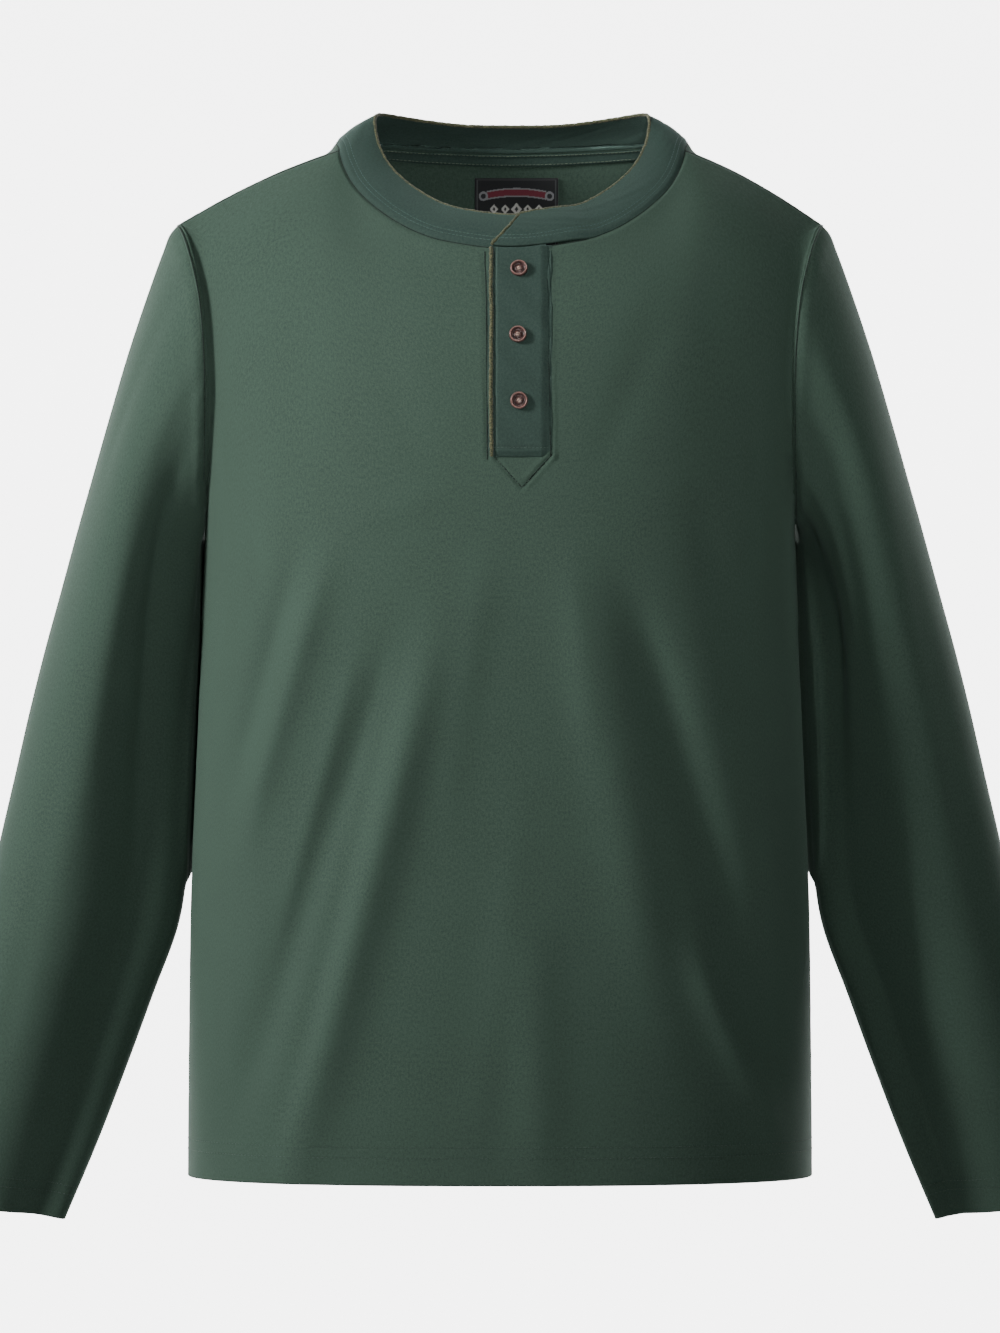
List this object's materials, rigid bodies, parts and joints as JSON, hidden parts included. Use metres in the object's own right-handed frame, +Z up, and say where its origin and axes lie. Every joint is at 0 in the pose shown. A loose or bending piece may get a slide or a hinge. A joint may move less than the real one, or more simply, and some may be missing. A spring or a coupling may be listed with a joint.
{
  "type": "henley shirt",
  "caption": "Long-sleeved jersey henley with a collarless standing band and a buttoned half placket, filled out as worn with nobody in it, open at neck, hem and cuffs.",
  "frame": {"origin": "middle of the shoulders, level with the highest points of the neck seam, where the wearer holds it", "axes": "+X to the wearer's left, +Y to the back, +Z up"},
  "size_m": [0.75, 0.235, 0.7367],
  "materials": {
    "jersey": "soft cotton jersey, matt",
    "band_jersey": "cotton jersey, matt, a little bluer",
    "rolled_edge": "lighter wrong side of the jersey, rolled raw edge",
    "woven_label": null,
    "button": "polished horn look, brown"
  },
  "bodies": {
    "root": {"front": "jersey", "back": "jersey", "sleeve_left": "jersey", "sleeve_right": "jersey", "neckband": "band_jersey", "placket_over": "band_jersey", "placket_under": "band_jersey", "neck_tape": "band_jersey", "edge_roll_neck": "rolled_edge", "edge_roll_placket": "rolled_edge", "label": "woven_label", "button_1": "button", "button_2": "button", "button_3": "button"}
  },
  "joints": []
}
